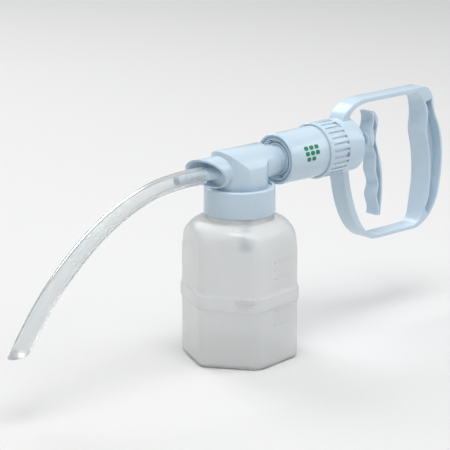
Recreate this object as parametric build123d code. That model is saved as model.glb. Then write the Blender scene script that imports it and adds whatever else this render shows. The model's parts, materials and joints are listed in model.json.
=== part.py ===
from build123d import *
import math
import os

# Hand-held suction pump with a screw-on collection jar.
# Millimetres. The origin is the centre of the jar's flat base, +Z is up, and
# +X runs along the pump's axis towards the hand grip.

os.makedirs("parts", exist_ok=True)

# ---------------------------------------------------------------- driving sizes
AXIS_Z = 145.7            # height of the pump's axis above the jar's base
WALL = 2.0                # usual moulded wall
RUN = 0.05                # radial running clearance
GAP = 0.3                 # clearance between bodies that don't fit each other

JAR_FLATS = 78.6
JAR_CORNER = 9.0
JAR_TURN = 36.0           # direction of the first flat's normal, degrees from +X
JAR_WALL = 1.8
JAR_SHOULDER_Z = 87.6
JAR_SHOULDER_R = 21.0
JAR_NECK_Z = 108.2
JAR_RIM_Z = 126.7
BAND_Z0, BAND_Z1 = 44.6, 56.8     # raised band around the jar
NECK_R = 23.6
THREAD_PITCH = 6.0
THREAD_R = 0.9
THREAD_Z = 114.2

CAP_R = 27.0
CAP_Z0, CAP_Z1 = 111.7, 130.7
CAP_BORE = 25.0
GASKET_T = 1.5

HEAD_R = 21.3
HEAD_BORE = 18.9
HEAD_ROOF_Z = AXIS_Z - 6.0     # axis of the barrel-vaulted roof
OUTLET_R = 12.3
OUTLET_END = 33.0
SPIGOT_R = 10.6
SPIGOT_END = 47.0
PORT_R = 12.4
PORT_ROOT_R = 11.9
PORT_WALL = 1.8
PORT_X = -33.4            # where the port's slanted end crosses the axis
PORT_FLOOR = -22.8
NIPPLE_R = 4.7
NIPPLE_END = -63.0
STEM_X = 7.0
CAGE_Z0, CAGE_Z1 = 79.6, 89.9
BALL_R = 3.0

BARREL_X0, BARREL_X1 = 36.6, 108.5
BARREL_FRONT_R, BARREL_REAR_R = 19.6, 19.9
BARREL_BORE = 16.5
FACE_BORE = 17.4
FRONT_WALL_X = 41.0
PLATE_X = 48.0

RING_X0, RING_X1 = 77.0, 97.2
RING_R = 21.9
RING_RIBS = 28
FLANGE_R = 20.4

COLLAR_X0, COLLAR_X1 = 97.5, 115.5
COLLAR_R = 21.7
COLLAR_BORE = 18.65
SPIGOT_X0 = 84.0
SPIGOT_RING_R = 20.0

PISTON_X = 55.0
ROD_R = 4.0
ROD_END = 141.0
GUIDE_X0 = 109.0

BAR_WIDTH = 15.0
GRIP_WIDTH = 19.5
TRIGGER_WIDTH = 12.5

TUBE_OD, TUBE_ID = 13.0, 9.9
TUBE_START = -38.6        # the tube's mouth, inside the port
TIP_X, TIP_DROP = -210.6, 97.5    # middle of the tip's slanted cut
TIP_SLANT = 10.0


# ---------------------------------------------------------------- helpers
def cyl_x(radius, x0, x1, z=AXIS_Z):
    """Solid cylinder along X."""
    turn = Pos(x0, 0, z) * Rot(0, 90, 0)
    return turn * Cylinder(radius, x1 - x0, align=(Align.CENTER, Align.CENTER, Align.MIN))


def ring_x(outer, inner, x0, x1):
    """Tube along the pump's axis."""
    return cyl_x(outer, x0, x1) - cyl_x(inner, x0 - 1, x1 + 1)


def cyl_z(radius, z0, z1, x=0.0, y=0.0):
    """Solid cylinder along Z."""
    return Pos(x, y, z0) * Cylinder(radius, z1 - z0, align=(Align.CENTER, Align.CENTER, Align.MIN))


def ring_z(outer, inner, z0, z1, x=0.0, y=0.0):
    """Tube along Z."""
    return cyl_z(outer, z0, z1, x, y) - cyl_z(inner, z0 - 1, z1 + 1, x, y)


def block(x0, x1, y0, y1, z0, z1):
    """Box between two corners."""
    return Pos((x0 + x1) / 2, (y0 + y1) / 2, (z0 + z1) / 2) * Box(x1 - x0, y1 - y0, z1 - z0)


def turned_x(points):
    """Solid of revolution about the pump's axis from (x, radius) points."""
    outline = Polyline(*[(x, 0, AXIS_Z + r) for x, r in points], close=True)
    return revolve(make_face(outline), Axis((0, 0, AXIS_Z), (1, 0, 0)), 360)


def side_slab(outline, width):
    """A closed outline in the XZ plane, thickened evenly about y = 0."""
    return extrude(make_face(outline), amount=width / 2, both=True, dir=(0, 1, 0))


def at_axis(points):
    """(x, z) points measured from the pump's axis, as vectors in the plane y = 0."""
    return [Vector(x, 0, AXIS_Z + z) for x, z in points]


def around_x(shape, count, start=0.0):
    """Copies of a shape spaced evenly around the pump's axis."""
    axis = Axis((0, 0, AXIS_Z), (1, 0, 0))
    return [shape.rotate(axis, start + 360.0 * i / count) for i in range(count)]


def helix_ridge(core, section, z0, turns):
    """A round ridge that winds up a cylinder."""
    path = Pos(0, 0, z0) * Helix(THREAD_PITCH, THREAD_PITCH * turns, core)
    profile = Plane(path @ 0, z_dir=path % 0) * Circle(section)
    return sweep(profile, path, is_frenet=True)


def save(shape, name):
    """Write one node's solids."""
    shape.label = name
    export_step(shape, f"parts/{name}.step")


# ---------------------------------------------------------------- collection jar
def hex_prism(flats, corner, z0, z1):
    """Six-sided prism with rounded upright edges."""
    radius = flats / 2 / math.cos(math.radians(30))
    face = RegularPolygon(radius, 6, rotation=JAR_TURN + 30)
    prism = Pos(0, 0, z0) * extrude(face, amount=z1 - z0)
    return fillet(prism.edges().filter_by(Axis.Z), corner)


def dome(inset, z0):
    """Body of revolution whose upper side is the jar's round shoulder."""
    reach = 44.4 - inset
    radius = JAR_SHOULDER_R - inset
    centre = reach - radius
    neck = 26.6 - inset
    top = JAR_SHOULDER_Z + math.sqrt(radius ** 2 - (neck - centre) ** 2)
    middle = radius * math.sqrt(0.5)
    outline = [
        Polyline((neck, 0, top), (0, 0, top), (0, 0, z0), (reach, 0, z0), (reach, 0, JAR_SHOULDER_Z)),
        ThreePointArc(
            (reach, 0, JAR_SHOULDER_Z), (centre + middle, 0, JAR_SHOULDER_Z + middle), (neck, 0, top)
        ),
    ]
    return revolve(make_face(Wire(Curve() + outline)), Axis.Z, 360)


def collection_jar():
    """Translucent six-sided jar with a threaded neck."""
    outer = hex_prism(JAR_FLATS, JAR_CORNER, 0, JAR_NECK_Z) & dome(0, 0)
    outer = fillet(outer.edges().group_by(Axis.Z)[0], 3.2)
    band = hex_prism(JAR_FLATS + 2.4, JAR_CORNER + 1.2, BAND_Z0, BAND_Z1)
    band = chamfer(band.edges().group_by(Axis.Z)[0] + band.edges().group_by(Axis.Z)[-1], 1.19)
    inner_flats = JAR_FLATS - 2 * JAR_WALL
    inner = hex_prism(inner_flats, JAR_CORNER - JAR_WALL, JAR_WALL, JAR_NECK_Z)
    inner &= dome(JAR_WALL, JAR_WALL)
    jar = outer + band + cyl_z(NECK_R, JAR_NECK_Z - 1.5, JAR_RIM_Z)
    jar += cyl_z(26.3, JAR_NECK_Z + 0.6, CAP_Z0 - GAP)
    jar = jar - inner - cyl_z(NECK_R - WALL, JAR_NECK_Z - 4, JAR_RIM_Z + 1)
    jar += helix_ridge(NECK_R - 0.15, THREAD_R, THREAD_Z, 1.6)
    return jar


def cap_gasket():
    """Flat ring that the jar's rim is pressed against."""
    return ring_z(NECK_R, NECK_R - WALL, JAR_RIM_Z + 0.02, JAR_RIM_Z + GASKET_T - 0.02)


# ---------------------------------------------------------------- head and cap
def jar_cap():
    """Screw cap with a dished top and a raised rim."""
    cap = cyl_z(CAP_R, CAP_Z0, CAP_Z1 + 1.6)
    cap = fillet(cap.edges().group_by(Axis.Z)[-1], 1.5)
    cap = chamfer(cap.edges().group_by(Axis.Z)[0], 0.6)
    cap -= cyl_z(CAP_R - 2.6, CAP_Z1, CAP_Z1 + 3)
    cap -= cyl_z(CAP_BORE, CAP_Z0 - 1, JAR_RIM_Z + GASKET_T)
    cap -= cyl_z(5.0, CAP_Z1 - 5, CAP_Z1 + 1, x=STEM_X)
    for y in (-7.0, 0.0, 7.0):
        cap -= cyl_z(2.6, CAP_Z1 - 5, CAP_Z1 + 1, x=-9.0, y=y)
    cap += helix_ridge(CAP_BORE + 0.15, THREAD_R, THREAD_Z + THREAD_PITCH / 2, 1.6)
    return cap


def beyond_port_end():
    """Everything beyond the port's slanted end, longest on its far upper side."""
    cutter = block(-60, 0, -40, 40, -40, 40)
    return Pos(PORT_X, 0, AXIS_Z) * Rot(0, -33.8, 29.1) * cutter


def head_body():
    """Hollow head: upright drum with a vaulted roof, inlet port and outlet spigot."""
    vault = cyl_x(HEAD_R, -40, 40, z=HEAD_ROOF_Z) + block(-40, 40, -40, 40, CAP_Z1, HEAD_ROOF_Z)
    drum = cyl_z(HEAD_R, CAP_Z1, AXIS_Z + 30) & vault
    drum_bore = cyl_z(HEAD_BORE, CAP_Z1 - 1, AXIS_Z + 30)
    drum_bore &= cyl_x(HEAD_BORE, -40, 40, z=HEAD_ROOF_Z) + block(-40, 40, -40, 40, CAP_Z1 - 1, HEAD_ROOF_Z)
    drum_bore -= block(-1.2, 1.2, -40, 40, CAP_Z1, AXIS_Z + 30)
    outlet = turned_x([
        (0, 0), (0, OUTLET_R), (OUTLET_END - 1.6, OUTLET_R), (OUTLET_END - 0.5, OUTLET_R - 0.5),
        (OUTLET_END, SPIGOT_R + 0.4), (OUTLET_END, SPIGOT_R), (40.0, SPIGOT_R), (40.0, SPIGOT_R - 1.5),
        (42.4, SPIGOT_R - 1.5), (42.4, SPIGOT_R), (SPIGOT_END - 0.6, SPIGOT_R),
        (SPIGOT_END, SPIGOT_R - 0.6), (SPIGOT_END, 0),
    ])
    port = turned_x([
        (-60, 0), (-60, PORT_R), (-44, PORT_R), (-HEAD_R, PORT_ROOT_R), (-10, PORT_ROOT_R), (-10, 0),
    ])
    port -= cyl_x(PORT_R - PORT_WALL, -60, PORT_FLOOR)
    port -= beyond_port_end()
    nipple = turned_x([
        (PORT_FLOOR + 1, 0), (PORT_FLOOR + 1, NIPPLE_R), (-47.0, NIPPLE_R), (-47.6, NIPPLE_R - 0.5),
        (-51.6, NIPPLE_R), (-52.2, NIPPLE_R - 0.5), (-56.2, NIPPLE_R), (-56.8, NIPPLE_R - 0.5),
        (NIPPLE_END + 1.4, NIPPLE_R - 0.2), (NIPPLE_END, NIPPLE_R - 1.1), (NIPPLE_END, 0),
    ])
    head = drum + outlet + port + nipple
    head -= drum_bore
    head -= cyl_x(7.5, 10, SPIGOT_END + 1)
    head -= cyl_x(2.9, NIPPLE_END - 1, -10)
    return head


def spigot_o_ring():
    """Seal in the groove of the outlet spigot."""
    seat = SPIGOT_R - 1.5 + 0.02
    return ring_x(SPIGOT_R + 0.03, seat, 40.2, 42.2)


def float_cage():
    """Stem and slotted cage that hang inside the jar."""
    cage = cyl_z(4.2, CAGE_Z1 - 1, CAP_Z1 - WALL - 0.52, x=STEM_X)
    cage += cyl_z(6.0, CAGE_Z0, CAGE_Z1, x=STEM_X)
    cage += cyl_z(7.0, CAP_Z1 - WALL - 2.0, CAP_Z1 - WALL - 0.52, x=STEM_X)
    cage -= cyl_z(2.4, CAGE_Z1 - 3, CAP_Z1, x=STEM_X)
    cage -= cyl_z(4.8, CAGE_Z0 + 1.2, CAGE_Z1 - 1.8, x=STEM_X)
    for turn in (0, 60, 120):
        slot = Pos(STEM_X, 0, 0) * Rot(0, 0, turn) * block(-9, 9, -1.0, 1.0, CAGE_Z0 + 2.2, CAGE_Z1 - 2.8)
        cage -= slot
    return cage


def float_ball():
    """Ball that shuts the stem when the jar is full."""
    return Pos(STEM_X, 0, CAGE_Z0 + 1.22 + BALL_R) * Sphere(BALL_R)


# ---------------------------------------------------------------- pump barrel
def barrel():
    """Pump cylinder with a stepped front face, a spigot socket and a rear flange."""
    socket = SPIGOT_R + RUN
    shell = turned_x([
        (BARREL_X0 + 1.6, FACE_BORE), (BARREL_X0 + 0.4, FACE_BORE + 0.5), (BARREL_X0, FACE_BORE + 1.2),
        (BARREL_X0 + 0.3, BARREL_FRONT_R - 0.6), (BARREL_X0 + 1.0, BARREL_FRONT_R),
        (RING_X0 + 2.6, BARREL_REAR_R), (RING_X0 + 2.6, FLANGE_R), (82.0, FLANGE_R),
        (82.0, COLLAR_BORE - RUN), (BARREL_X1, COLLAR_BORE - RUN), (BARREL_X1, BARREL_BORE),
        (FRONT_WALL_X + 3, BARREL_BORE), (FRONT_WALL_X + 3, 13.0), (PLATE_X, 13.0),
        (PLATE_X, socket), (38.4, socket), (38.4, 12.6), (FRONT_WALL_X, 12.6),
        (FRONT_WALL_X, FACE_BORE),
    ])
    for hole in around_x(Pos(0, 0, 15.0) * cyl_x(0.9, 40, 45), 12):
        shell -= hole
    return shell


def exhaust_cover():
    """Slotted ring with a raised ridge that closes the barrel's front recess."""
    cover = turned_x([
        (38.8, 13.4), (38.8, 14.6), (37.7, 14.9), (37.2, 15.5), (37.7, 16.1), (38.8, 16.3),
        (38.8, FACE_BORE - 0.02), (39.8, FACE_BORE - 0.02), (39.8, 13.4),
    ])
    for slot in around_x(block(36, 41, -1.6, 1.6, AXIS_Z + 13.9, AXIS_Z + 14.6), 8, start=22.5):
        cover -= slot
    return cover


def exhaust_valve():
    """Thin rubber ring over the exhaust holes."""
    return ring_x(16.9, 13.0, FRONT_WALL_X - 0.62, FRONT_WALL_X - 0.02)


def valve_plate():
    """Plate with intake holes at the inner end of the spigot's socket."""
    plate = cyl_x(13.0, PLATE_X + 0.02, PLATE_X + 2.0)
    plate -= cyl_x(1.5, PLATE_X - 1, PLATE_X + 3)
    for hole in around_x(Pos(0, 0, 5.0) * cyl_x(1.5, PLATE_X - 1, PLATE_X + 3), 6):
        plate -= hole
    return plate


def intake_valve():
    """Rubber disc that the plate's holes open into."""
    return ring_x(7.6, 1.56, PLATE_X + 2.04, PLATE_X + 2.9)


def intake_keeper():
    """Headed pin that holds the intake disc."""
    pin = cyl_x(1.48, PLATE_X + 0.1, PLATE_X + 5.0) + cyl_x(3.4, PLATE_X + 4.2, PLATE_X + 5.4)
    return pin


def barrel_gasket():
    """Flat seal between the barrel's flange and the collar's spigot."""
    return ring_x(FLANGE_R - 0.5, COLLAR_BORE + 0.05, 82.02, SPIGOT_X0 - 0.02)


def lock_ring():
    """Ribbed bayonet ring that clamps the barrel to the collar."""
    ring = turned_x([
        (RING_X0, BARREL_REAR_R + GAP), (RING_X0, 21.3), (RING_X0 + 0.6, RING_R), (RING_X1, RING_R),
        (RING_X1, 20.1), (RING_X1 - 2.6, 20.1), (RING_X1 - 2.6, FLANGE_R + RUN + 0.05),
        (RING_X0 + 2.3, FLANGE_R + RUN + 0.05), (RING_X0 + 2.3, BARREL_REAR_R + GAP),
    ])
    pitch = 360.0 / RING_RIBS
    top = AXIS_Z + RING_R
    groove = block(RING_X0 + 3.2, RING_X1 + 1, -1.05, 1.05, top - 0.9, top + 2)
    groove += block(RING_X1 - 1.1, RING_X1 + 1, -0.9, 0.9, top - 1.5, top + 2)
    for cut in around_x(groove, RING_RIBS, start=pitch / 2):
        ring -= cut
    for cut in around_x(block(94, 98, -11, 11, AXIS_Z + 15, AXIS_Z + 20.6), 3, start=0):
        ring -= cut
    return ring


# ---------------------------------------------------------------- plunger
def piston_head():
    """Piston body with a spring seat behind it."""
    return turned_x([
        (PISTON_X + 4.7, 3.02), (PISTON_X + 4.7, 15.6), (PISTON_X + 5.2, 16.1), (PISTON_X + 13, 16.1),
        (PISTON_X + 13, 14.5), (PISTON_X + 7.7, 14.5), (PISTON_X + 7.7, 3.02),
    ])


def piston_cup():
    """Lipped rubber seal of the piston."""
    lip = BARREL_BORE - RUN
    return turned_x([
        (PISTON_X + 3.2, 2.6), (PISTON_X + 3.2, 14.6), (PISTON_X, 15.2), (PISTON_X, lip),
        (PISTON_X + 3.4, lip), (PISTON_X + 4.66, 15.6), (PISTON_X + 4.66, 2.6),
    ])


def piston_washer():
    """Washer that clamps the cup seal."""
    return ring_x(9.0, 2.1, PISTON_X + 2.0, PISTON_X + 3.16)


def piston_screw():
    """Screw that holds the piston to its rod."""
    screw = cyl_x(3.8, PISTON_X - 0.6, PISTON_X + 1.96) + cyl_x(1.98, PISTON_X + 1.9, PISTON_X + 17)
    screw -= block(PISTON_X - 1, PISTON_X + 0.3, -0.5, 0.5, AXIS_Z - 5, AXIS_Z + 5)
    return screw


def piston_rod():
    """Rod from the piston to the trigger."""
    rod = cyl_x(3.0, PISTON_X + 4.7, PISTON_X + 8) + cyl_x(ROD_R, PISTON_X + 7.72, ROD_END)
    rod -= cyl_x(2.0, PISTON_X, PISTON_X + 18)
    rod -= Pos(ROD_END - 2.6, 0, AXIS_Z) * Rot(90, 0, 0) * Cylinder(1.0, 20)
    return rod


def return_spring():
    """Compression spring around the rod."""
    wire = 0.65
    start, end = PISTON_X + 7.75 + wire, GUIDE_X0 - 0.05 - wire
    turns = 7
    coil = Helix((end - start) / turns, end - start, 6.6)
    path = Pos(start, 0, AXIS_Z) * Rot(0, 90, 0) * coil
    section = Plane(path @ 0, z_dir=path % 0) * Circle(wire)
    return sweep(section, path, is_frenet=True)


def rod_guide():
    """Flanged bush in the collar's rear wall."""
    guide = cyl_x(8.5, GUIDE_X0, 110.9) + cyl_x(6.98, GUIDE_X0, COLLAR_X1 + 1.5)
    return guide - cyl_x(ROD_R + RUN, 100, 120)


FINGER_SIDE = [
    (137.4, 22.5), (139.4, 15.0), (136.6, 4.0), (143.0, -13.5), (142.8, -26.0),
    (146.8, -37.5), (144.5, -46.4), (147.7, -56.5), (147.0, -63.0),
]
TRIGGER_POCKET = [
    (140.7, 20.5), (141.4, 15.2), (139.9, 9.0), (141.0, 7.0), (141.0, -6.5), (144.6, -13.0), (144.5, -26.2),
    (148.3, -37.2), (146.1, -46.4), (149.2, -56.3), (148.9, -61.5), (149.5, -61.5), (150.8, -46.2),
    (150.6, -31.2), (145.9, -10.8), (142.3, 1.0), (144.2, 10.6),
]
PALM_SIDE = [(150.4, -63.0), (152.2, -46.0), (152.0, -31.0), (147.2, -11.0), (143.6, 1.0), (145.7, 11.0),
             (141.4, 22.5)]


def trigger():
    """Finger bar with grooves on its front and pockets in its sides."""
    front = at_axis(FINGER_SIDE)
    back = at_axis(PALM_SIDE)
    outline = Curve() + [Spline(*front), Line(front[-1], back[0]), Spline(*back), Line(back[-1], front[0])]
    bar = side_slab(Wire(outline), TRIGGER_WIDTH)
    pocket = side_slab(Polyline(*at_axis(TRIGGER_POCKET), close=True), TRIGGER_WIDTH)
    web = side_slab(Polyline(*at_axis([(130, -65), (155, -65), (155, 25), (130, 25)]), close=True), 2.6)
    bar -= pocket - web
    hub = cyl_x(6.0, 135.2, 143.4)
    bar += hub
    bar -= cyl_x(ROD_R + 0.02, 130, ROD_END)
    bar -= Pos(ROD_END - 2.6, 0, AXIS_Z) * Rot(90, 0, 0) * Cylinder(1.0, 30)
    return bar


def trigger_pin():
    """Cross pin through the trigger's hub and the rod."""
    return Pos(ROD_END - 2.6, 0, AXIS_Z) * Rot(90, 0, 0) * Cylinder(0.99, 12.0)


# ---------------------------------------------------------------- handle
ARM_OUTER = [(103.0, 18.0), (105.4, 23.6), (110.9, 28.6), (119.4, 32.8), (131.0, 34.7)]
ARM_INNER = [(109.6, 18.0), (111.8, 23.0), (117.0, 27.8), (124.4, 30.6), (133.0, 31.5)]
GRIP_BACK = [
    (198.0, 34.6), (205.6, 31.2), (209.0, 24.0), (209.6, 15.0), (214.6, 4.0), (219.6, -12.0),
    (220.8, -28.0), (218.6, -47.5), (215.0, -61.0), (208.7, -72.6), (199.6, -79.4), (187.0, -81.6),
]
GRIP_FRONT = [
    (187.0, 31.3), (193.6, 28.6), (197.6, 22.2), (200.4, 12.0), (199.6, -1.5), (202.3, -14.0),
    (204.9, -31.0), (204.2, -52.0), (200.6, -67.0), (196.0, -76.0), (188.0, -79.0),
]
LEG_OUTER = [(145.0, -81.2), (130.3, -76.0), (120.8, -66.2), (113.6, -53.4), (108.3, -37.4), (104.6, -18.0)]
LEG_INNER = [(147.0, -78.6), (134.0, -73.6), (125.4, -63.6), (119.6, -52.0), (114.4, -37.0), (110.6, -18.0)]


def handle_frame():
    """Collar and closed D-shaped handle in one moulding."""
    outer = [at_axis(p) for p in (ARM_OUTER, GRIP_BACK, LEG_OUTER)]
    inner = [at_axis(p) for p in (ARM_INNER, GRIP_FRONT, LEG_INNER)]
    slabs = []
    for arm, grip, leg in (outer, inner):
        outline = Curve() + [
            Spline(*arm), Line(arm[-1], grip[0]), Spline(*grip), Line(grip[-1], leg[0]), Spline(*leg),
            Line(leg[-1], arm[0]),
        ]
        slabs.append(side_slab(Wire(outline), GRIP_WIDTH + 2))
    loop = slabs[0] - slabs[1]
    bars = loop & block(90, 200, -BAR_WIDTH / 2, BAR_WIDTH / 2, AXIS_Z - 100, AXIS_Z + 50)
    half, narrow = GRIP_WIDTH / 2, BAR_WIDTH / 2
    waist = [
        (-narrow, 40), (narrow, 40), (narrow, 32), (half, 14), (half, -58), (narrow, -78), (narrow, -90),
        (-narrow, -90), (-narrow, -78), (-half, -58), (-half, 14), (-narrow, 32),
    ]
    girth = make_face(Polyline(*[(180, y, AXIS_Z + z) for y, z in waist], close=True))
    grip = loop & extrude(girth, amount=50, dir=(1, 0, 0))
    front = [Vector(p.X + 1.7, 0, p.Z) for p in at_axis(GRIP_FRONT[2:9])]
    back = [Vector(p.X - 1.8, 0, p.Z) for p in at_axis(GRIP_BACK[2:10])]
    hollow = Curve() + [Spline(*front), Line(front[-1], back[-1]), Spline(*back), Line(back[0], front[0])]
    pocket = side_slab(Wire(hollow), GRIP_WIDTH + 4) - side_slab(Wire(hollow), 3.2)
    collar = turned_x([
        (COLLAR_X0, SPIGOT_RING_R), (COLLAR_X0, COLLAR_R - 0.5), (COLLAR_X0 + 0.5, COLLAR_R),
        (COLLAR_X1 - 1.2, COLLAR_R), (COLLAR_X1, COLLAR_R - 1.2), (COLLAR_X1, 7.0), (111.0, 7.0),
        (111.0, 16.0), (BARREL_X1 + 0.2, COLLAR_BORE), (SPIGOT_X0, COLLAR_BORE),
        (SPIGOT_X0, SPIGOT_RING_R),
    ])
    lugs = turned_x([(90, 19.5), (90, FLANGE_R), (92.5, FLANGE_R), (92.5, 19.5)])
    lugs &= Part() + around_x(block(89, 94, -10, 10, AXIS_Z + 15, AXIS_Z + 25), 3, start=60)
    frame = collar + lugs + (bars + grip - pocket - cyl_x(COLLAR_R - 1, COLLAR_X0, COLLAR_X1))
    return frame


# ---------------------------------------------------------------- suction tube
# Centre line of the tube from the port down to its bevelled tip.
TUBE_ROUTE = [
    (TUBE_START, 0.0, AXIS_Z), (-69.0, 0.0, AXIS_Z + 0.6), (-102.0, 0.0, AXIS_Z - 6.8),
    (-136.0, 0.0, AXIS_Z - 22.4), (-166.4, 0.0, AXIS_Z - 45.1), (-194.3, 0.0, AXIS_Z - 73.0),
    (-214.0, 0.0, AXIS_Z - 102.8),
]


def suction_tube():
    """Clear flexible tube with a bevel-cut tip."""
    points = [Vector(*p) for p in TUBE_ROUTE]
    radii = []
    for before, corner, after in zip(points, points[1:], points[2:]):
        turn = (corner - before).get_angle(after - corner)
        run = min((corner - before).length, (after - corner).length)
        radii.append(0.45 * run / math.tan(math.radians(turn) / 2))
    print("suction tube radii", [round(r, 1) for r in radii])
    path = FilletPolyline(*points, radius=radii)
    plane = Plane(path @ 0, z_dir=path % 0)
    tube = sweep(plane * (Circle(TUBE_OD / 2) - Circle(TUBE_ID / 2)), path)
    expected = math.pi * (TUBE_OD ** 2 - TUBE_ID ** 2) / 4 * path.length
    share = round(tube.volume / expected, 4)
    print("suction tube length", round(path.length, 1), "volume / expected", share)
    cut = Pos(TIP_X, 0, AXIS_Z - TIP_DROP) * Rot(0, -TIP_SLANT, 0)
    return tube - cut * block(-30, 30, -20, 20, -30, 0)


PARTS = {
    "handle_frame": handle_frame, "barrel": barrel, "barrel_gasket": barrel_gasket,
    "exhaust_cover": exhaust_cover, "exhaust_valve": exhaust_valve, "valve_plate": valve_plate,
    "intake_valve": intake_valve, "intake_keeper": intake_keeper, "rod_guide": rod_guide,
    "lock_ring": lock_ring, "piston_head": piston_head, "piston_cup": piston_cup,
    "piston_washer": piston_washer, "piston_screw": piston_screw, "piston_rod": piston_rod,
    "return_spring": return_spring, "trigger": trigger, "trigger_pin": trigger_pin,
    "head_body": head_body, "spigot_o_ring": spigot_o_ring, "jar_cap": jar_cap,
    "float_cage": float_cage, "float_ball": float_ball, "cap_gasket": cap_gasket,
    "collection_jar": collection_jar, "suction_tube": suction_tube,
}

for node, make in PARTS.items():
    save(make(), node)
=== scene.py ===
"""Looks of the hand-held suction pump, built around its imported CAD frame. Metres, +Z up."""
import json
import math

import bmesh
import bpy
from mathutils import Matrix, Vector


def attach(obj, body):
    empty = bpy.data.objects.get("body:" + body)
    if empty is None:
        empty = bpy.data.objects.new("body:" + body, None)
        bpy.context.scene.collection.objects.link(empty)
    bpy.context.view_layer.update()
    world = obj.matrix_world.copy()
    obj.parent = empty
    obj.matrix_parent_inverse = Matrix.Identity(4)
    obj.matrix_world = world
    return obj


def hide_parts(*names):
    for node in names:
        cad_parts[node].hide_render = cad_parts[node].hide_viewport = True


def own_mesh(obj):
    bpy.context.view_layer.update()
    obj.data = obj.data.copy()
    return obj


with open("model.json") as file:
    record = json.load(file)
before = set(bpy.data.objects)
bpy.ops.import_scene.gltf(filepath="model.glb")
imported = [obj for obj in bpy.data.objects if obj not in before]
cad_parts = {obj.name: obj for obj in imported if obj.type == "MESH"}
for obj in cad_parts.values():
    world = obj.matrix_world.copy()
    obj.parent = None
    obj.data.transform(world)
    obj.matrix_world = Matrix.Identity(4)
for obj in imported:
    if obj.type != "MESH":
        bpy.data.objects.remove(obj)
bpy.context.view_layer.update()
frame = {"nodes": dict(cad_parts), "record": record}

MM = 0.001
AXIS_Z = 0.1457                     # height of the pump's axis


# ------------------------------------------------------------------ camera
def make_camera():
    """Long lens, slightly above, looking past the port along the pump."""
    target = Vector((0, 0, 0.1011))
    turn, lift = math.radians(-43.6), math.radians(15.2)
    distance, aside = 1.5, 0.0109
    back = Vector((math.sin(turn) * math.cos(lift), -math.cos(turn) * math.cos(lift), math.sin(lift)))
    right = Vector((math.cos(turn), math.sin(turn), 0))
    data = bpy.data.cameras.new("camera")
    data.lens = 160
    data.sensor_width = 36
    camera = bpy.data.objects.new("camera", data)
    bpy.context.scene.collection.objects.link(camera)
    camera.location = target + back * distance - right * aside
    camera.rotation_euler = (-back).to_track_quat("-Z", "Y").to_euler()
    bpy.context.scene.camera = camera


make_camera()


# ------------------------------------------------------------------ materials
PLASTIC_PATCH, PLASTIC_POLISH = 45, 70     # noise scales of colour and roughness
CLEAR_PATCH, CLEAR_POLISH = 30, 40


def nodes_of(name):
    """A new material with its node tree and shader."""
    material = bpy.data.materials.new(name)
    material.use_nodes = True
    tree = material.node_tree
    return material, tree, tree.nodes["Principled BSDF"]


def noise(tree, scale, detail=3.0):
    """A noise texture that sits in the object's own space."""
    place = tree.nodes.new("ShaderNodeTexCoord")
    texture = tree.nodes.new("ShaderNodeTexNoise")
    texture.inputs["Scale"].default_value = scale
    texture.inputs["Detail"].default_value = detail
    tree.links.new(place.outputs["Object"], texture.inputs["Vector"])
    return texture.outputs["Fac"]


def vary_colour(tree, shader, dark, light, scale):
    """Soft patches between two close colours."""
    ramp = tree.nodes.new("ShaderNodeValToRGB")
    ramp.color_ramp.elements[0].position, ramp.color_ramp.elements[0].color = 0.3, (*dark, 1)
    ramp.color_ramp.elements[1].position, ramp.color_ramp.elements[1].color = 0.7, (*light, 1)
    tree.links.new(noise(tree, scale), ramp.inputs["Fac"])
    tree.links.new(ramp.outputs["Color"], shader.inputs["Base Color"])


def vary_roughness(tree, shader, low, high, scale):
    """Uneven polish."""
    span = tree.nodes.new("ShaderNodeMapRange")
    span.inputs["To Min"].default_value, span.inputs["To Max"].default_value = low, high
    tree.links.new(noise(tree, scale), span.inputs["Value"])
    tree.links.new(span.outputs["Result"], shader.inputs["Roughness"])


def grain(tree, shader, scale, strength, depth):
    """Fine bumps in the surface."""
    bump = tree.nodes.new("ShaderNodeBump")
    bump.inputs["Strength"].default_value = strength
    bump.inputs["Distance"].default_value = depth
    tree.links.new(noise(tree, scale, 4.0), bump.inputs["Height"])
    tree.links.new(bump.outputs["Normal"], shader.inputs["Normal"])


def opaque(name, dark, light, rough, bump, metallic=0.0, scatter=0.0):
    """Moulded plastic, rubber or metal."""
    material, tree, shader = nodes_of(name)
    vary_colour(tree, shader, dark, light, PLASTIC_PATCH)
    vary_roughness(tree, shader, *rough, PLASTIC_POLISH)
    grain(tree, shader, *bump)
    shader.inputs["Metallic"].default_value = metallic
    if scatter:
        shader.inputs["Subsurface Weight"].default_value = scatter
        shader.inputs["Subsurface Radius"].default_value = (0.6, 0.8, 1.0)
        shader.inputs["Subsurface Scale"].default_value = 0.002
    return material


def clear(name, dark, light, rough, bump, through, ior, coat=0.0):
    """Plastic that light passes through."""
    material, tree, shader = nodes_of(name)
    vary_colour(tree, shader, dark, light, CLEAR_PATCH)
    vary_roughness(tree, shader, *rough, CLEAR_POLISH)
    grain(tree, shader, *bump)
    shader.inputs["Transmission Weight"].default_value = through
    shader.inputs["IOR"].default_value = ior
    shader.inputs["Coat Weight"].default_value = coat
    shader.inputs["Coat Roughness"].default_value = 0.12
    return material


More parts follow.
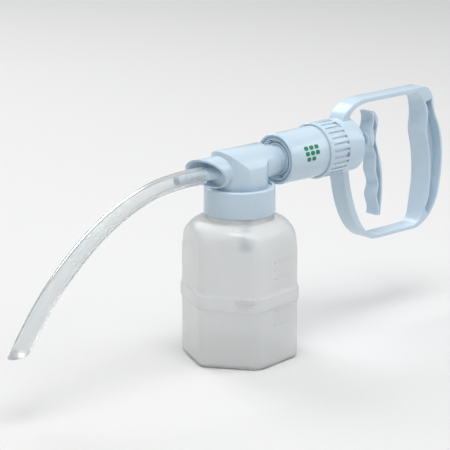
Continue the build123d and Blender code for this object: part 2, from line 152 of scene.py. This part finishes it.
LOOKS = {
    "shell_plastic": opaque("shell", (0.57, 0.70, 0.80), (0.60, 0.725, 0.82), (0.14, 0.21),
                            (900, 0.05, 0.0001), scatter=0.15),
    "jar_plastic": clear("jar_milky", (0.975, 0.985, 0.98), (0.985, 0.992, 0.99), (0.26, 0.34),
                         (350, 0.05, 0.0002), 0.60, 1.14, coat=0.5),
    "inner_plastic": opaque("inner", (0.44, 0.64, 0.84), (0.48, 0.67, 0.86), (0.28, 0.38),
                            (700, 0.05, 0.0001)),
    "float_plastic": opaque("float", (0.82, 0.82, 0.79), (0.87, 0.87, 0.84), (0.3, 0.4),
                            (700, 0.05, 0.0001)),
    "seal_rubber": opaque("rubber", (0.42, 0.50, 0.56), (0.47, 0.55, 0.60), (0.5, 0.65),
                          (600, 0.2, 0.0001)),
    "rod_metal": opaque("rod", (0.70, 0.71, 0.73), (0.76, 0.77, 0.79), (0.16, 0.28),
                        (1200, 0.08, 0.00005), metallic=1.0),
    "spring_steel": opaque("spring", (0.55, 0.55, 0.56), (0.63, 0.63, 0.64), (0.22, 0.34),
                           (1200, 0.1, 0.00005), metallic=1.0),
    "clear_tube": clear("tube_clear", (0.90, 0.925, 0.93), (0.925, 0.94, 0.945), (0.10, 0.14),
                        (90, 0.005, 0.00005), 0.80, 1.17),
}
PRINT = opaque("print_green", (0.0, 0.20, 0.10), (0.0, 0.25, 0.12), (0.35, 0.5), (900, 0.1, 0.00005))
SLOT_OF = {piece["node"]: piece["material_slot"] for piece in frame["record"]["subparts"]}
for node, carried in frame["nodes"].items():
    carried.data.materials.clear()
    carried.data.materials.append(LOOKS[SLOT_OF[node]])


# ------------------------------------------------------------------ pieces
MERGE = 0.00001                     # vertices of a CAD mesh this near are one, in metres
FLAT_ENOUGH = 0.6                   # faces that differ by less are merged, in degrees


def add_piece(name, mesh, body, slot, replaced=(), material=None):
    """Put a new mesh in the scene, on its body and with its finish."""
    piece = bpy.data.objects.new(name, mesh)
    bpy.context.scene.collection.objects.link(piece)
    mesh.materials.clear()
    mesh.materials.append(material or LOOKS[slot])
    mesh.shade_smooth()
    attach(piece, body)
    if replaced:
        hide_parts(*replaced)
    return piece


def from_bmesh(name, bm):
    """A mesh with its normals facing out."""
    bmesh.ops.recalc_face_normals(bm, faces=bm.faces)
    mesh = bpy.data.meshes.new(name)
    bm.to_mesh(mesh)
    bm.free()
    return mesh


def round_edges(piece, width, angle, segments=3):
    """Round a piece's sharp edges."""
    bevel = piece.modifiers.new("rounding", "BEVEL")
    bevel.width = width
    bevel.segments = segments
    bevel.limit_method = "ANGLE"
    bevel.angle_limit = math.radians(angle)
    bevel.harden_normals = True
    bevel.miter_outer = "MITER_ARC"


def moulded(node, body, width, angle):
    """A copy of a CAD piece whose edges are rounded like a moulding's."""
    bm = bmesh.new()
    bm.from_mesh(frame["nodes"][node].data)
    bmesh.ops.remove_doubles(bm, verts=bm.verts, dist=MERGE)
    bmesh.ops.dissolve_limit(bm, angle_limit=math.radians(FLAT_ENOUGH), verts=bm.verts, edges=bm.edges)
    piece = add_piece("look_" + node, from_bmesh(node, bm), body, SLOT_OF[node], [node])
    round_edges(piece, width, angle)


def return_spring():
    """A copy of the return spring, attached to the plunger."""
    bm = bmesh.new()
    bm.from_mesh(frame["nodes"]["return_spring"].data)
    piece = add_piece("coil_spring", from_bmesh("coil_spring", bm), "plunger", SLOT_OF["return_spring"],
                      ["return_spring"])
    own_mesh(piece)


return_spring()


# ------------------------------------------------------------------ suction tube
TUBE_OD, TUBE_ID = 0.013, 0.0099
TUBE_ROUTE = [
    (-0.0386, 0, 0.1457), (-0.0690, 0, 0.1463), (-0.1020, 0, 0.1389), (-0.1360, 0, 0.1233),
    (-0.1664, 0, 0.1006), (-0.1943, 0, 0.0727), (-0.2140, 0, 0.0429),
]
TIP = Vector((-0.2106, 0, 0.0482))  # middle of the tip's slanted cut
TIP_SLANT = math.radians(10)
TUBE_SIDES = 56


def spline_points(route, steps=24):
    """Points along the route's smooth line."""
    data = bpy.data.curves.new("route", "CURVE")
    data.dimensions = "3D"
    spline = data.splines.new("NURBS")
    spline.points.add(len(route) - 1)
    for point, place in zip(spline.points, route):
        point.co = (*place, 1)
    spline.order_u = 3
    spline.use_endpoint_u = True
    spline.resolution_u = steps
    carrier = bpy.data.objects.new("route", data)
    mesh = bpy.data.meshes.new_from_object(carrier)
    points = [v.co.copy() for v in mesh.vertices]
    bpy.data.meshes.remove(mesh)
    bpy.data.objects.remove(carrier)
    bpy.data.curves.remove(data)
    return points


def ring_at(bm, centre, ahead, radius, count):
    """A ring of points square to the tube, which bends in the plane y = 0."""
    side = Vector((0, 1, 0))
    up = ahead.cross(side).normalized()
    turns = [math.tau * i / count for i in range(count)]
    return [bm.verts.new(centre + (side * math.cos(a) + up * math.sin(a)) * radius) for a in turns]


def join_rings(bm, first, second):
    """A band of faces between two rings."""
    for i, corner in enumerate(first):
        j = (i + 1) % len(first)
        bm.faces.new((corner, first[j], second[j], second[i]))


def suction_tube():
    """Clear hollow tube along the route, its tip cut at a slant."""
    points = spline_points(TUBE_ROUTE)
    bm = bmesh.new()
    walls = []
    for radius in (TUBE_OD / 2, TUBE_ID / 2):
        rings = []
        for i, point in enumerate(points):
            before, after = points[max(i - 1, 0)], points[min(i + 1, len(points) - 1)]
            rings.append(ring_at(bm, point, (after - before).normalized(), radius, TUBE_SIDES))
        for first, second in zip(rings, rings[1:]):
            join_rings(bm, first, second)
        walls.append(rings)
    join_rings(bm, walls[0][0], walls[1][0])
    normal = Vector((math.sin(TIP_SLANT), 0, -math.cos(TIP_SLANT)))
    geometry = bm.verts[:] + bm.edges[:] + bm.faces[:]
    bmesh.ops.bisect_plane(bm, geom=geometry, plane_co=TIP, plane_no=normal, clear_outer=True, dist=0.000001)
    open_edges = [e for e in bm.edges if e.is_boundary]
    bmesh.ops.bridge_loops(bm, edges=open_edges)
    piece = add_piece("clear_tube", from_bmesh("clear_tube", bm), "head", "clear_tube", ["suction_tube"])
    round_edges(piece, 0.0003, 50, 2)


suction_tube()


# ------------------------------------------------------------------ collection jar
JAR_FLATS, JAR_CORNER, JAR_WALL = 78.6, 9.0, 1.8          # millimetres, as in the CAD
JAR_TURN = math.radians(36)
SHOULDER_Z, SHOULDER_R, REACH = 87.6, 21.0, 44.4
SHOULDER_TOP_R = 26.6                                     # where the shoulder meets the neck
NECK_R, NECK_WALL, RIM_Z = 23.6, 2.0, 126.7
BAND_Z0, BAND_Z1, BAND_OUT = 44.6, 56.8, 1.2
BASE_CORNER, INNER_BASE_CORNER = 3.2, 2.0
ROW_STEP, BAND_STEP = 2.4, 0.35                           # height between rings, and near the band
UNLIMITED = 8                                             # past the reach, so the outline alone decides
SOFT_SHOULDER = 3.4                                       # width of the change from outline to shoulder
JAR_SIDES = 180


def hexagon_radius(angle, flats, corner):
    """Distance from the jar's axis to a six-sided outline with round corners."""
    sector = math.radians(60)
    turn = (angle - JAR_TURN + sector / 2) % sector - sector / 2   # from the nearest flat's normal
    apothem = flats / 2
    straight = (apothem - corner) * math.tan(sector / 2)
    if abs(math.tan(turn)) * apothem <= straight:
        return apothem / math.cos(turn)
    reach = (apothem - corner) / math.cos(sector / 2)
    off = sector / 2 - abs(turn)
    return reach * math.cos(off) + math.sqrt(corner ** 2 - (reach * math.sin(off)) ** 2)


def blend_min(a, b, width):
    """The smaller of two lengths, with a soft change between them."""
    share = max(width - abs(a - b), 0) / width
    return min(a, b) - share * share * width / 4


def step_between(value, start, end):
    """0 before start, 1 after end, smooth between."""
    t = min(max((value - start) / (end - start), 0), 1)
    return t * t * (3 - 2 * t)


def jar_side(inset):
    """(limit radius, height, flats' growth) down the jar's shoulder and side, from the neck."""
    centre, radius = REACH - SHOULDER_R, SHOULDER_R - inset
    start = math.asin((SHOULDER_TOP_R - inset - centre) / radius)
    steps = 22
    rows = []
    for i in range(steps + 1):
        turn = start + (math.pi / 2 - start) * i / steps
        rows.append((centre + radius * math.sin(turn), SHOULDER_Z + radius * math.cos(turn), 0.0))
    limit = REACH - inset + UNLIMITED
    corner = BASE_CORNER if inset == 0 else INNER_BASE_CORNER
    height = SHOULDER_Z - ROW_STEP
    while height > inset + corner:
        rise = step_between(height, BAND_Z0 - 0.1, BAND_Z0 + 1.5)
        fall = step_between(height, BAND_Z1 - 1.5, BAND_Z1 + 0.1)
        near_band = BAND_Z0 - 1 < height < BAND_Z0 + 2.5 or BAND_Z1 - 2.5 < height < BAND_Z1 + 1
        rows.append((limit, height, BAND_OUT * (rise - fall) if inset == 0 else 0.0))
        height -= BAND_STEP if near_band else ROW_STEP
    for i in range(7):
        turn = math.pi / 2 * i / 6
        rows.append((limit, inset + corner * (1 - math.sin(turn)), -corner * (1 - math.cos(turn))))
    return rows


def jar_wall(bm, inset):
    """Rings of the jar's outer or inner side, from the neck down to the base's middle."""
    rings = []
    angles = [math.tau * i / JAR_SIDES for i in range(JAR_SIDES)]
    for limit, height, growth in jar_side(inset):
        flats = JAR_FLATS - 2 * inset + 2 * growth
        ring = []
        for angle in angles:
            out = hexagon_radius(angle, flats, max(JAR_CORNER - inset + growth, 2.0))
            out = blend_min(out, limit, SOFT_SHOULDER)
            ring.append(bm.verts.new(Vector((out * math.cos(angle), out * math.sin(angle), height)) * MM))
        rings.append(ring)
    return rings


def close_base(bm, ring):
    """A base that rises a little towards its middle."""
    rings = [ring]
    floor = min(v.co.z for v in ring)
    for scale, rise in ((0.93, 0.0), (0.88, 0.25), (0.84, 0.8), (0.5, 1.1), (0.15, 1.2)):
        height = floor + rise * MM
        rings.append([bm.verts.new(Vector((v.co.x * scale, v.co.y * scale, height))) for v in ring])
    for first, second in zip(rings, rings[1:]):
        join_rings(bm, first, second)
    bm.faces.new(rings[-1])


def round_ring(bm, radius, height):
    """A level ring of points, in millimetres."""
    turns = [math.tau * i / JAR_SIDES for i in range(JAR_SIDES)]
    return [bm.verts.new(Vector((radius * math.cos(a), radius * math.sin(a), height)) * MM) for a in turns]


def thread_ridge(bm, core, start, pitch, turns, radius):
    """A round ridge wound around the neck, thin at both ends."""
    steps, around = round(60 * turns), 8
    rings = []
    for i in range(steps + 1):
        share = i / steps
        turn = math.tau * turns * share
        thick = radius * min(1, 12 * share + 0.15, 12 * (1 - share) + 0.15)
        out = Vector((math.cos(turn), math.sin(turn), 0))
        centre = out * core + Vector((0, 0, start + pitch * turns * share))
        spread = [math.tau * k / around for k in range(around)]
        rings.append([bm.verts.new((centre + (out * math.cos(a) + Vector((0, 0, math.sin(a)))) * thick) * MM)
                      for a in spread])
    for first, second in zip(rings, rings[1:]):
        join_rings(bm, first, second)
    bm.faces.new(rings[0])
    bm.faces.new(reversed(rings[-1]))


def collection_jar():
    """Milky jar: outer and inner walls, shoulder, band, neck, bead and thread."""
    bm = bmesh.new()
    outer, inner = jar_wall(bm, 0.0), jar_wall(bm, JAR_WALL)
    bore = NECK_R - NECK_WALL
    neck = [
        (26.3, 108.9), (26.3, 110.9), (25.9, 111.4), (NECK_R + 0.4, 111.4), (NECK_R, 111.8),
        (NECK_R, RIM_Z - 0.5), (NECK_R - 0.5, RIM_Z), (bore + 0.5, RIM_Z), (bore, RIM_Z - 0.5),
        (bore, 107.6), (bore + 0.6, 106.9),
    ]
    chain = [outer[0]] + [round_ring(bm, r, z) for r, z in neck] + [inner[0]]
    for rings in (outer, inner, chain):
        for first, second in zip(rings, rings[1:]):
            join_rings(bm, first, second)
    close_base(bm, outer[-1])
    close_base(bm, inner[-1])
    thread_ridge(bm, NECK_R - 0.15, 114.2, 6.0, 1.6, 0.9)
    add_piece("milky_jar", from_bmesh("milky_jar", bm), "jar", "jar_plastic", ["collection_jar"])


collection_jar()


# ------------------------------------------------------------------ raised marks on the jar
def on_flat(side_angle, along, height, proud, apothem):
    """A point on one of the jar's flats: along it, up it and out from it."""
    out = Vector((math.cos(side_angle), math.sin(side_angle), 0))
    side = Vector((-out.y, out.x, 0))
    return (out * (apothem + proud) + side * along + Vector((0, 0, height))) * MM


def raised_bar(bm, side_angle, along, height, half_long, half_tall, proud, apothem):
    """A rounded bar that stands a little out of a flat."""
    rings = []
    for shrink, out in ((0.0, -0.25), (0.0, proud * 0.5), (proud * 0.7, proud)):
        ring = []
        radius = half_tall - shrink
        for i in range(24):
            turn = math.tau * (i + 0.5) / 24
            centre = math.copysign(half_long - half_tall, math.cos(turn))
            ring.append(bm.verts.new(on_flat(side_angle, along + centre + radius * math.cos(turn),
                                             height + radius * math.sin(turn), out, apothem)))
        rings.append(ring)
    for first, second in zip(rings, rings[1:]):
        join_rings(bm, first, second)
    bm.faces.new(rings[0])
    bm.faces.new(reversed(rings[-1]))


def jar_marks():
    """Level marks on one flat and a plain panel with bars on the front of the band."""
    bm = bmesh.new()
    scale_flat, front_flat = math.radians(276), math.radians(216)
    for height in (80.2, 67.6, 43.0, 32.0):
        raised_bar(bm, scale_flat, 2.5, height, 9.3, 0.5, 0.4, JAR_FLATS / 2)
    for height in (73.9, 37.5):
        raised_bar(bm, scale_flat, -2.8, height, 4.0, 0.4, 0.35, JAR_FLATS / 2)
    for height, long in ((54.6, 7.5), (52.2, 7.5), (49.8, 5.0)):
        raised_bar(bm, front_flat, 11.0, height, long, 0.75, 0.35, JAR_FLATS / 2 + BAND_OUT)
    add_piece("jar_marks", from_bmesh("jar_marks", bm), "jar", "jar_plastic")


jar_marks()


# ------------------------------------------------------------------ mouldings from the CAD
for node, body, width, angle in (
        ("handle_frame", "handle", 0.0009, 35), ("barrel", "handle", 0.0004, 35),
        ("exhaust_cover", "handle", 0.00025, 35), ("lock_ring", "lock_ring", 0.0003, 35),
        ("trigger", "plunger", 0.0008, 35), ("head_body", "head", 0.0005, 35),
        ("jar_cap", "head", 0.0003, 40)):
    moulded(node, body, width, angle)


# ------------------------------------------------------------------ printed bars on the barrel
BARREL_X0, BARREL_R0, BARREL_TAPER = 37.6, 19.6, 0.3 / 42  # millimetres; the barrel widens along x
BAR_GAP, PRINT_LIFT = 1.2, 0.05


def printed_bars():
    """Three rows of plain green bars on the barrel's side, a hair above its surface."""
    bm = bmesh.new()
    rows = ((50.5, 65.8, 26.0, 4.7, 3), (51.0, 66.0, 13.4, 4.7, 3), (52.0, 61.5, 0.8, 4.5, 2))
    for start, end, turn, half, count in rows:
        pitch = (end - start + BAR_GAP) / count
        for k in range(count):
            low = start + k * pitch
            high = low + pitch - BAR_GAP
            grid = []
            for i in range(7):
                share = i / 6
                x = low + (high - low) * share
                tall = half * math.sqrt(max(1 - (2 * share - 1) ** 8, 0.3))
                radius = BARREL_R0 + BARREL_TAPER * (x - BARREL_X0) + PRINT_LIFT
                column = []
                for j in range(7):
                    angle = math.radians(turn + tall * (j / 3 - 1))
                    column.append(bm.verts.new(Vector((x * MM, -radius * math.cos(angle) * MM,
                                                       AXIS_Z + radius * math.sin(angle) * MM))))
                grid.append(column)
            for first, second in zip(grid, grid[1:]):
                for j in range(6):
                    bm.faces.new((first[j], second[j], second[j + 1], first[j + 1]))
    add_piece("printed_bars", from_bmesh("printed_bars", bm), "handle", "shell_plastic", material=PRINT)


printed_bars()


# ------------------------------------------------------------------ floor and light
def make_floor():
    """A wide plain pale floor."""
    material, tree, shader = nodes_of("floor_pale")
    vary_colour(tree, shader, (0.745, 0.74, 0.736), (0.75, 0.745, 0.741), 3)
    shader.inputs["Roughness"].default_value = 0.9
    bm = bmesh.new()
    bmesh.ops.create_grid(bm, x_segments=8, y_segments=8, size=6)
    mesh = bpy.data.meshes.new("floor")
    bm.to_mesh(mesh)
    bm.free()
    mesh.materials.append(material)
    floor = bpy.data.objects.new("floor", mesh)
    floor.location.z = -0.0002
    bpy.context.scene.collection.objects.link(floor)


def area_light(name, place, aim, size, power):
    """A square soft light that looks at a point."""
    data = bpy.data.lights.new(name, "AREA")
    data.size = size
    data.energy = power
    light = bpy.data.objects.new(name, data)
    light.location = place
    light.rotation_euler = (Vector(aim) - Vector(place)).to_track_quat("-Z", "Y").to_euler()
    bpy.context.scene.collection.objects.link(light)


def make_world():
    """Even pale surroundings, a little darker and cooler low down."""
    world = bpy.data.worlds.new("studio")
    world.use_nodes = True
    tree = world.node_tree
    background = tree.nodes["Background"]
    place = tree.nodes.new("ShaderNodeTexCoord")
    split = tree.nodes.new("ShaderNodeSeparateXYZ")
    ramp = tree.nodes.new("ShaderNodeValToRGB")
    ramp.color_ramp.elements[0].position, ramp.color_ramp.elements[0].color = 0.0, (0.62, 0.65, 0.68, 1)
    ramp.color_ramp.elements[1].position, ramp.color_ramp.elements[1].color = 0.7, (0.97, 0.985, 1.0, 1)
    tree.links.new(place.outputs["Generated"], split.inputs["Vector"])
    tree.links.new(split.outputs["Z"], ramp.inputs["Fac"])
    tree.links.new(ramp.outputs["Color"], background.inputs["Color"])
    background.inputs["Strength"].default_value = 0.50
    bpy.context.scene.world = world
    bpy.context.scene.view_settings.view_transform = "Standard"


make_floor()
make_world()
area_light("key", (-0.25, -0.45, 2.1), (0.05, 0, 0.1), 1.3, 28)
area_light("side", (1.5, -1.1, 1.1), (0.05, 0, 0.12), 0.9, 5)
area_light("back", (0.2, 1.7, 1.5), (0.05, 0, 0.12), 1.2, 16)
